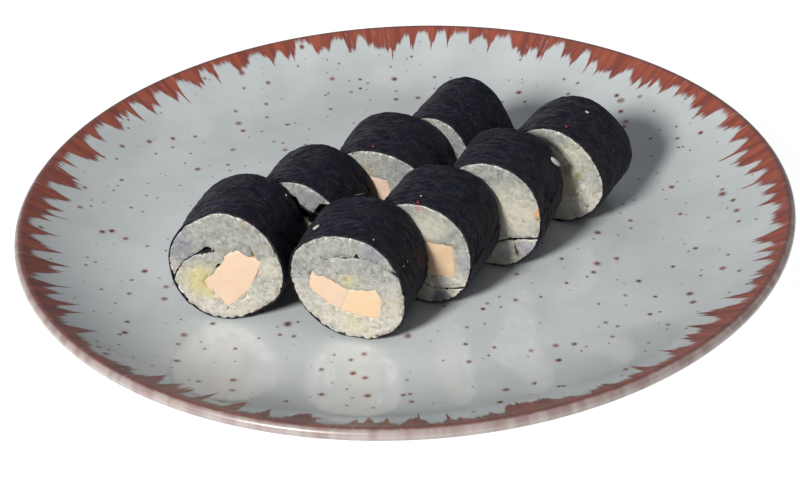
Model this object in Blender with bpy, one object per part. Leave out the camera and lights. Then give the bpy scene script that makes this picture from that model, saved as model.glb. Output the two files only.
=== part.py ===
"""Eight cut maki rolls lying in two rows on a round stoneware plate.

A roll is a nori sheet rolled once round seasoned rice. The sheet's far end laps over the ring that it closes,
and its near end, the tail, curls in under that lap, so that a lens of rice lies between ring and tail.
Filling sticks run through the rice from cut to cut. Sizes are in millimetres until a mesh is built in metres.
+Z is up, and the origin is under the plate's centre, on the surface that its foot ring stands on.
"""

from dataclasses import dataclass
from math import cos, degrees, pi, radians, sin, tan

import bmesh
import bpy
from mathutils import Vector

MM = 0.001
GAP = 0.3  # between pieces that touch

# The plate, turned about Z: flat floor, a curved well, a straight rim with a round lip, a plain foot ring.
PLATE_RADIUS = 135.8
FLOOR_TOP = 8.5
FLOOR_RADIUS = 88.0
WELL_ARC = 79.3  # radius of the curve from the floor into the rim
RIM_SLOPE = 34.0
FLOOR_THICKNESS = 5.3
RIM_THICKNESS = 3.9
FOOT_OUTER = 73.0
FOOT_INNER = 67.0
FOOT_EDGE = 0.8  # worn edge of the foot ring
PLATE_SEGMENTS = 60
LIP_STEPS = 5
WELL_STEPS = 4

# The rolls.
NORI = 0.6  # thickness of the moist sheet
LAP = 0.35  # how far the lap stands out over the ring
LAP_REACH = 28.0  # degrees that the lap runs past the seam
LAP_RISE = 20.0  # degrees over which the sheet climbs on to the lap
LAP_EDGE = 1.2  # degrees over which the lap's edge falls back to the ring
SIT = 0.4  # how far a roll's round bottom is pressed flat
RICE_PROUD = 0.25  # rice stands out of each cut
RING_STEP = 8.0  # degrees between the points of a ring
TAIL_STEPS = 9
POCKET_START = 0.7  # share of the tail after which its hollow opens
CHANNEL_SPARE = 1.0  # a stick's channel is cut this much longer than the rice

SHARP = 35.0  # degrees between faces above which an edge is drawn hard


@dataclass
class Tail:
    """The sheet's inner end: where it leaves the ring, how far round it runs, how deep it ends."""

    seam: float  # degrees from the right, anticlockwise seen from the front
    sweep: float  # degrees it runs on from the seam, positive anticlockwise
    depth: float
    bend: float  # 1 leaves the ring evenly, more turns in sooner
    pocket: float = 0.0  # half width of the hollow that rice leaves round its tip


@dataclass
class Stick:
    """A filling stick. Its corners are (across, up) from the roll's middle."""

    filling: str
    corners: tuple


@dataclass
class Roll:
    """One roll. It lies along its axis, which points from its front cut to its back cut."""

    name: str
    front: tuple  # x and y of the front cut's middle
    turn: float  # degrees from +Y towards +X
    length: float
    radius: float  # mean radius of its outline
    lobes: tuple  # (how many, how far they stand out, direction of one in degrees)
    tail: Tail
    sticks: tuple
    spread: float = 1.0  # size of its back cut over its front cut


ROLLS = (
    Roll(
        "left_1",
        front=(-57.3, -61.0),
        turn=15.5,
        length=24.4,
        radius=20.1,
        lobes=((2, 1.15, 56), (3, 0.3, -12), (4, 0.45, -20)),
        tail=Tail(seam=201, sweep=-92, depth=12.4, bend=1.8, pocket=0.8),
        sticks=(
            Stick(
                "salmon",
                (
                    (-8.4, -5.9),
                    (-0.7, -15.2),
                    (5.9, -8.8),
                    (9.2, -3.4),
                    (12.2, 3.1),
                    (8.8, 5.3),
                    (4.1, 7.0),
                    (0.0, 3.9),
                    (-1.1, 0.7),
                ),
            ),
        ),
    ),
    Roll(
        "left_2",
        front=(-35.8, -40.2),
        turn=21,
        length=25.1,
        radius=19.3,
        lobes=((2, 0.3, 88), (3, 0.1, -49), (4, 0.2, -12)),
        tail=Tail(seam=148, sweep=-95, depth=9.2, bend=2.6, pocket=0.5),
        sticks=(Stick("salmon", ((-9, -6), (1, -11), (8, -4), (5, 4.5), (-6, 4.5))),),
    ),
    Roll(
        "left_3",
        front=(-8.5, -21.7),
        turn=18.8,
        length=27.5,
        radius=19.9,
        lobes=((2, 0.5, -17), (3, 0.15, 25), (4, 0.15, 33)),
        tail=Tail(seam=215, sweep=80, depth=8.5, bend=2.2, pocket=0.4),
        sticks=(
            Stick("salmon", ((-8, -1), (-6.5, 9.4), (3.9, 8), (5.2, 0.5), (3, -4.5))),
            Stick("radish", ((5.7, 0.7), (3.5, -4.7), (7.5, -8.5), (12, -3.5))),
        ),
    ),
    Roll(
        "left_4",
        front=(13.3, 2.4),
        turn=31.3,
        length=28.5,
        radius=17.5,
        lobes=((2, 1.75, 121), (3, 0.25, -43), (4, 0.3, -17)),
        tail=Tail(seam=-52, sweep=-80, depth=6.8, bend=2.2, pocket=0.4),
        sticks=(Stick("salmon", ((-4.5, -5), (4.5, -5.5), (5.5, 5), (-1, 8.5), (-6, 4.5))),),
        spread=1.07,
    ),
    Roll(
        "right_1",
        front=(-18.6, -73.9),
        turn=19.2,
        length=23.0,
        radius=19.5,
        lobes=((2, 0.8, -54), (3, 0.3, 54), (4, 0.35, -32)),
        tail=Tail(seam=21, sweep=107, depth=8.6, bend=2.8, pocket=0.6),
        sticks=(
            Stick(
                "salmon",
                (
                    (-12.9, -0.4),
                    (-11.5, 3.9),
                    (-5.1, 2.0),
                    (0.3, -0.7),
                    (-1.7, -6.1),
                    (-3.2, -8.7),
                    (-6.4, -7.1),
                    (-12.4, -2.6),
                ),
            ),
            Stick(
                "radish",
                (
                    (0.7, -0.8),
                    (4.5, -0.5),
                    (8.8, 0.9),
                    (10.9, -2.8),
                    (9.9, -9.8),
                    (4.0, -9.9),
                    (-2.8, -9.1),
                    (-1.3, -6.2),
                ),
            ),
        ),
    ),
    Roll(
        "right_2",
        front=(3.3, -55.7),
        turn=25.5,
        length=25.3,
        radius=19.5,
        lobes=((2, 0.4, 31), (3, 0.2, -52), (4, 0.25, 42)),
        tail=Tail(seam=-28, sweep=-88, depth=8.4, bend=2.6, pocket=0.4),
        sticks=(
            Stick("radish", ((1.1, 5.4), (12.4, 5.7), (13, -6.2), (1.2, -7.2))),
            Stick("salmon", ((-12, -2.5), (-9, 6), (0.7, 5), (0.8, -7.2), (-8, -7.5))),
        ),
    ),
    Roll(
        "right_3",
        front=(28.5, -37.0),
        turn=23.1,
        length=24.7,
        radius=19.2,
        lobes=((2, 1.2, 97), (3, 0.2, 23), (4, 0.2, -42)),
        tail=Tail(seam=-20, sweep=-90, depth=10.0, bend=5.0, pocket=0.7),
        sticks=(Stick("salmon", ((-11, -3), (-9.5, 6), (-2, 9), (1.5, 0.5), (-3, -5.5))),),
    ),
    Roll(
        "right_4",
        front=(51.8, -10.1),
        turn=31.1,
        length=26.3,
        radius=19.2,
        lobes=((2, 0.9, -9), (3, 0.2, -40), (4, 0.35, -3)),
        tail=Tail(seam=170, sweep=-158, depth=9.4, bend=2.2, pocket=0.5),
        sticks=(
            Stick("salmon", ((-9, 2), (2, 2.6), (3, -6), (-6.5, -8))),
            Stick("radish", ((2.5, 2.3), (9.2, 0.4), (9.6, -6.4), (3.5, -6.2))),
        ),
    ),
)


# Materials.


def finish(name, colour, roughness):
    """A plain Principled material."""
    material = bpy.data.materials.new(name)
    material.use_nodes = True
    shader = material.node_tree.nodes["Principled BSDF"]
    shader.inputs["Base Color"].default_value = (*colour, 1.0)
    shader.inputs["Roughness"].default_value = roughness
    shader.inputs["Metallic"].default_value = 0.0
    return material


def make_finishes():
    """One material for each kind of piece."""
    return {
        "stoneware": finish("stoneware", (0.48, 0.51, 0.53), 0.25),
        "nori": finish("nori", (0.014, 0.013, 0.020), 0.55),
        "rice": finish("rice", (0.62, 0.60, 0.50), 0.45),
        "salmon": finish("salmon", (0.87, 0.62, 0.46), 0.40),
        "radish": finish("radish", (0.86, 0.66, 0.38), 0.40),
    }


# Outlines. All are lists of (across, up) in the plane of a cut.


def polar(angle, radius):
    """A point at an angle in degrees and a distance from the middle."""
    return radius * cos(radians(angle)), radius * sin(radians(angle))


def lobed_radius(roll, angle):
    """Outer radius of the ring before its bottom is pressed flat."""
    lobes = sum(height * cos(radians(count * (angle - at))) for count, height, at in roll.lobes)
    return roll.radius + lobes


def resting_depth(roll):
    """How far the pressed bottom lies below the roll's middle."""
    lowest = min(polar(angle, lobed_radius(roll, angle))[1] for angle in range(360))
    return -lowest - SIT


def ring_radius(roll, angle):
    """Outer radius of the ring, flat where it rests."""
    radius = lobed_radius(roll, angle)
    down = -sin(radians(angle))
    if down > 0:
        radius = min(radius, resting_depth(roll) / down)
    return radius


def lap_height(roll, angle):
    """How far the lap stands out over the ring at an angle: it climbs to the seam and ends in a step."""
    way = -1 if roll.tail.sweep > 0 else 1
    past = ((angle - roll.tail.seam) * way + 180) % 360 - 180
    if -LAP_RISE < past <= 0:
        return LAP * (1 + past / LAP_RISE)
    if 0 < past < LAP_REACH:
        return LAP
    return 0.0


def outer_outline(roll):
    """The outside of the sheet, with both sides of the lap's edge."""
    way = -1 if roll.tail.sweep > 0 else 1
    edge = (roll.tail.seam + way * LAP_REACH) % 360
    count = round(360 / RING_STEP)
    first = edge + way * LAP_EDGE / 2
    angles = [first + way * (360 - LAP_EDGE) * step / count for step in range(count + 1)]
    return [polar(angle, ring_radius(roll, angle) + lap_height(roll, angle)) for angle in angles]


def tail_line(roll):
    """Middle line of the tail, from the seam to its tip."""
    tail = roll.tail
    line = []
    for step in range(TAIL_STEPS + 1):
        along = step / TAIL_STEPS
        angle = tail.seam + tail.sweep * along
        sunk = NORI / 2 + tail.depth * (1 - (1 - along) ** tail.bend)
        line.append(Vector(polar(angle, ring_radius(roll, angle) - sunk)))
    return line


def side_points(line, half_widths, side):
    """The line moved sideways by its half widths, to its left for side 1 and to its right for -1."""
    points = []
    for step, (point, half) in enumerate(zip(line, half_widths)):
        before = line[max(step - 1, 0)]
        after = line[min(step + 1, len(line) - 1)]
        heading = (after - before).normalized()
        points.append(point + Vector((-heading.y, heading.x)) * half * side)
    return points


def bearing(point):
    """Direction of a point from the middle, in degrees."""
    return degrees(point.angle_signed(Vector((1, 0))))


def from_ring(roll, points, inset):
    """The stretch of a line that lies inside the ring, from where it crosses it."""
    depths = [ring_radius(roll, bearing(point)) - inset - point.length for point in points]
    first = next(step for step, depth in enumerate(depths) if depth > 0)
    if first == 0:
        return points
    share = depths[first] / (depths[first] - depths[first - 1])
    crossing = points[first].lerp(points[first - 1], share)
    kept = points[first:] if share > 0.15 else points[first + 1 :]
    return [crossing, *kept]


def inner_outline(roll, clearance, pocket):
    """The room inside the sheet: round the ring, in along the tail's outer side, out along its inner side."""
    line = tail_line(roll)
    inset = NORI + clearance
    widths = []
    for step in range(len(line)):
        opening = max(0.0, step / TAIL_STEPS - POCKET_START) / (1 - POCKET_START)
        widths.append(NORI / 2 + clearance + pocket * opening)
    way = 1 if roll.tail.sweep > 0 else -1
    lens_side = from_ring(roll, side_points(line, widths, -way), inset)
    core_side = from_ring(roll, side_points(line, widths, way), inset)
    start = bearing(core_side[0])
    cusp = bearing(lens_side[0])
    turn = (start - cusp) * way % 360
    turn = turn if turn > 180 else turn + 360
    count = round(turn / RING_STEP)
    angles = [start - way * turn * step / count for step in range(1, count)]
    ring = [Vector(polar(angle, ring_radius(roll, angle) - inset)) for angle in angles]
    heading = (line[-1] - line[-2]).normalized()
    tip = [line[-1] + heading * widths[-1]]
    return [tuple(point) for point in ring + lens_side + tip + core_side[::-1]]


def grown(corners, distance):
    """An outline moved outwards by a distance."""
    points = [Vector(corner) for corner in corners]
    area = sum(a.x * b.y - b.x * a.y for a, b in zip(points, points[1:] + points[:1]))
    side = 1 if area > 0 else -1
    moved = []
    for before, point, after in zip(points[-1:] + points[:-1], points, points[1:] + points[:1]):
        first = (point - before).normalized()
        second = (after - point).normalized()
        outward = Vector((first.y + second.y, -first.x - second.x)).normalized() * side
        spread = Vector((first.y, -first.x)).dot(outward) * side
        moved.append(tuple(point + outward * distance / spread))
    return moved


# Solids.


def new_object(name, mesh, material):
    """An object in the scene that shows a mesh in one material."""
    mesh.materials.append(material)
    made = bpy.data.objects.new(name, mesh)
    bpy.context.scene.collection.objects.link(made)
    return made


def extruded(roll, name, outlines, near, far, material):
    """A piece of a roll along local +Y. The first outline is its outside, the others are holes."""
    mesh = bpy.data.meshes.new(name)
    work = bmesh.new()
    for outline in outlines:
        ring = [work.verts.new((across * MM, near * MM, up * MM)) for across, up in outline]
        for first, second in zip(ring, ring[1:] + ring[:1]):
            work.edges.new((first, second))
    bmesh.ops.triangle_fill(work, edges=work.edges[:], use_beauty=True, normal=(0, -1, 0))
    swept = bmesh.ops.extrude_face_region(work, geom=work.faces[:])
    far_verts = [item for item in swept["geom"] if isinstance(item, bmesh.types.BMVert)]
    for vert in far_verts:
        rest = -resting_depth(roll) * MM
        spread = 1 + (roll.spread - 1) * far / roll.length
        vert.co = (vert.co.x * spread, far * MM, rest + (vert.co.z - rest) * spread)
    bmesh.ops.recalc_face_normals(work, faces=work.faces[:])
    work.to_mesh(mesh)
    work.free()
    mesh.shade_smooth()
    mesh.set_sharp_from_angle(angle=radians(SHARP))
    return new_object(name, mesh, material)


def cut_out(piece, cutter):
    """Takes the cutter's shape out of a piece."""
    cutter.hide_render = True
    cutter.display_type = "WIRE"
    cut = piece.modifiers.new(cutter.name, "BOOLEAN")
    cut.operation = "DIFFERENCE"
    cut.object = cutter


def turned(name, profile, segments, material):
    """A solid of revolution. The profile runs (radius, height) from the top's middle face to the bottom's."""
    mesh = bpy.data.meshes.new(name)
    work = bmesh.new()
    rings = []
    for radius, height in profile:
        angles = [2 * pi * step / segments for step in range(segments)]
        places = [(radius * cos(angle) * MM, radius * sin(angle) * MM, height * MM) for angle in angles]
        rings.append([work.verts.new(place) for place in places])
    for upper, lower in zip(rings, rings[1:]):
        for step in range(segments):
            after = (step + 1) % segments
            work.faces.new((upper[step], lower[step], lower[after], upper[after]))
    work.faces.new(rings[0])
    work.faces.new(rings[-1])
    bmesh.ops.recalc_face_normals(work, faces=work.faces[:])
    work.to_mesh(mesh)
    work.free()
    mesh.shade_smooth()
    mesh.set_sharp_from_angle(angle=radians(SHARP))
    return new_object(name, mesh, material)


def plate_profile():
    """Half section of the plate, from the edge of its floor over the lip to the underside's middle."""
    slope = radians(RIM_SLOPE)
    lip = RIM_THICKNESS / 2
    top = []
    under = []
    for step in range(WELL_STEPS + 1):
        along = step / WELL_STEPS
        lean = slope * along
        radius = FLOOR_RADIUS + WELL_ARC * sin(lean)
        height = FLOOR_TOP + WELL_ARC * (1 - cos(lean))
        thickness = FLOOR_THICKNESS + (RIM_THICKNESS - FLOOR_THICKNESS) * along
        top.append((radius, height))
        under.append((radius + thickness * sin(lean), height - thickness * cos(lean)))
    well_radius, well_height = top[-1]
    lip_radius = PLATE_RADIUS - lip
    run = lip_radius - lip * sin(slope) - well_radius
    lip_height = well_height + run * tan(slope) - lip * cos(slope)
    around = []
    for step in range(LIP_STEPS + 1):
        angle = slope + pi / 2 - pi * step / LIP_STEPS
        around.append((lip_radius + lip * cos(angle), lip_height + lip * sin(angle)))
    underside = FLOOR_TOP - FLOOR_THICKNESS
    foot = [
        (FOOT_OUTER + FOOT_EDGE * 2, underside),
        (FOOT_OUTER, FOOT_EDGE),
        (FOOT_OUTER - FOOT_EDGE, 0.0),
        (FOOT_INNER + FOOT_EDGE, 0.0),
        (FOOT_INNER, FOOT_EDGE),
        (FOOT_INNER - FOOT_EDGE * 2, underside),
    ]
    return top + around + under[::-1] + foot


# The object.


def make_roll(roll, finishes):
    """Sheet, rice and sticks of one roll, placed by an empty at the middle of its front cut."""
    place = bpy.data.objects.new(roll.name, None)
    bpy.context.scene.collection.objects.link(place)
    height = FLOOR_TOP + GAP + resting_depth(roll)
    place.location = Vector((*roll.front, height)) * MM
    place.rotation_euler.z = -radians(roll.turn)

    sheet = [outer_outline(roll), inner_outline(roll, 0.0, 0.0)]
    nori = extruded(roll, f"{roll.name}_nori", sheet, 0.0, roll.length, finishes["nori"])
    body = [inner_outline(roll, GAP, roll.tail.pocket)]
    near, far = -RICE_PROUD, roll.length + RICE_PROUD
    rice = extruded(roll, f"{roll.name}_rice", body, near, far, finishes["rice"])
    pieces = [nori, rice]
    for stick in roll.sticks:
        name = f"{roll.name}_{stick.filling}"
        piece = extruded(roll, name, [stick.corners], 0.0, roll.length, finishes[stick.filling])
        room = grown(stick.corners, GAP)
        start, end = near - CHANNEL_SPARE, far + CHANNEL_SPARE
        cutter = extruded(roll, f"{name}_channel", [room], start, end, finishes["rice"])
        cut_out(rice, cutter)
        pieces += [piece, cutter]
    for piece in pieces:
        piece.parent = place


def main():
    for existing in list(bpy.data.objects):
        bpy.data.objects.remove(existing)
    finishes = make_finishes()
    turned("plate", plate_profile(), PLATE_SEGMENTS, finishes["stoneware"])
    for roll in ROLLS:
        make_roll(roll, finishes)


main()
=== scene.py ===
"""Dresses the frame of a plate of cut maki rolls: glaze, seaweed sheets, grains of rice and fillings.

Sizes are in millimetres until a mesh or a light is made in metres. Each roll's pieces are made in the
roll's own frame: x across its front cut, y along its axis from the front cut to the back one, z up, from
the cut's middle.
"""

from dataclasses import dataclass, field
from math import cos, pi, radians, sin, tan

import bpy
import numpy as np
from mathutils import Matrix, Vector, geometry, noise
from mathutils.bvhtree import BVHTree


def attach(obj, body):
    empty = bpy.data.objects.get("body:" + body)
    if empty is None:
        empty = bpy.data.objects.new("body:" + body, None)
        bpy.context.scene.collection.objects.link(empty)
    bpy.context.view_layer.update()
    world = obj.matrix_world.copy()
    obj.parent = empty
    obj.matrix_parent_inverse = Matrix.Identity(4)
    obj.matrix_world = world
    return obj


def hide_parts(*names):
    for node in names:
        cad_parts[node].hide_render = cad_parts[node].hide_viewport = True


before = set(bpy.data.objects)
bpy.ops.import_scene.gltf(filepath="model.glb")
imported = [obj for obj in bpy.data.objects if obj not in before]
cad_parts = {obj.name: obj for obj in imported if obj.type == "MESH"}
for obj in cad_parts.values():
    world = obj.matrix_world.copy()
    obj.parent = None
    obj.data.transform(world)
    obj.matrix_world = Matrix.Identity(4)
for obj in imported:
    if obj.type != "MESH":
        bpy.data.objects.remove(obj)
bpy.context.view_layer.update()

MM = 0.001

# The plate, turned about z.
PLATE_RADIUS = 135.8
FLOOR_TOP = 8.5
FLOOR_RADIUS = 88.0
WELL_ARC = 79.3
RIM_SLOPE = 34.0
FLOOR_THICKNESS = 5.3
RIM_THICKNESS = 3.9
FOOT_OUTER = 73.0
FOOT_INNER = 67.0
FOOT_EDGE = 0.8
WELL_STEPS = 16
PLATE_SEGMENTS = 240

# The rolls.
GAP = 0.3
NORI = 0.6
LAP = 0.35
LAP_REACH = 28.0
LAP_RISE = 20.0
LAP_EDGE = 1.2
SIT = 0.4
SHEET_COLUMNS = 160
SHEET_ROWS = 92
TAIL_STEPS = 60
TAIL_HALF = 0.3  # half the tail's thickness
GRAIN_ROOM = 5.2  # area of a cut that one grain fills
ROOM_SAMPLES = 9000  # random places that show how much room the grains have
GRAIN_SIDES = 12
GRAIN_RINGS = 7
STICK_CORNER = 0.7  # how far before a stick's corner its rounding starts
FILM_GRID = 0.5  # spacing of the points of the starch film over a cut
FILM_SMEAR = 0.72  # how many of its points the film smears the grains' shapes over
FILM_SINK = -0.045  # how far the film lies behind the smeared grains
FILM_EDGE = 0.9  # how far in from the sheet the film starts to fall back
GROOVE_BANK = 0.18  # width of the bank beside a groove in the film
TAIL_GROOVE = 0.7
CRACK_DEPTH = 1.6
HOLLOW_DEPTH = 5.0  # how far the holes between the grains reach in
EDGE_WRINKLE = 0.38  # deepest wrinkle of the sheet where it meets a cut
EDGE_REACH = 2.2  # how far from a cut that holds
RAGGED_REACH = 0.5  # how far from a cut the sheet's edge is ragged
CUT_BEVEL = 0.12  # how far the tail ends short of a cut, and the sheet's edge rounds over
FILM_FALL = 0.28  # how far the film falls back at the sheet
LOOSE_FALL = 0.7  # how far it falls back where the grains stand out
SKIRT_DEPTH = 1.2  # how far behind a cut the rice draws in behind the sheet
SKIRT_INSET = 0.9  # how much further in than the sheet it lies there
STICK_GROWTH = 1.03  # sticks are made this much larger, to meet the rice
STICK_UNEVEN = 0.16
STICK_PROUD = 0.1
LIP_STEPS = 16


@dataclass
class Tail:
    """The sheet's inner end: where it leaves the ring, how far round it runs, how deep it ends."""

    seam: float
    sweep: float
    depth: float
    bend: float


@dataclass
class Roll:
    """One roll, with what its cuts show. Points are (across, up) from the middle of the front cut."""

    name: str
    front: tuple
    turn: float
    length: float
    radius: float
    lobes: tuple
    tail: Tail
    sticks: dict
    spread: float = 1.0
    hollows: tuple = ()  # outlines of small holes between the grains
    cracks: tuple = ()  # (half width, points) of the gaps along which rice and filling part
    stains_and_painted_shade: tuple = ()  # (tint, middle, reach, strength) of colours painted on the rice: stains, greyer rice, and painted shade
    opening: float = 0.17  # half width of the line left over the tail, below 0 where it closes
    uneven: float = 0.3
    mouth: float = 0.1  # how much wider the line is at the seam
    loose: tuple = ()  # (middle, reach) of places where the grains stand out singly
    tones: dict = field(default_factory=dict)  # two colours that replace a filling's usual ones, darker on right_2 and right_4 as painted shade
    crumbs: tuple = ()  # (kind, angle round the roll, place along it, turn, half length, half width)


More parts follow.
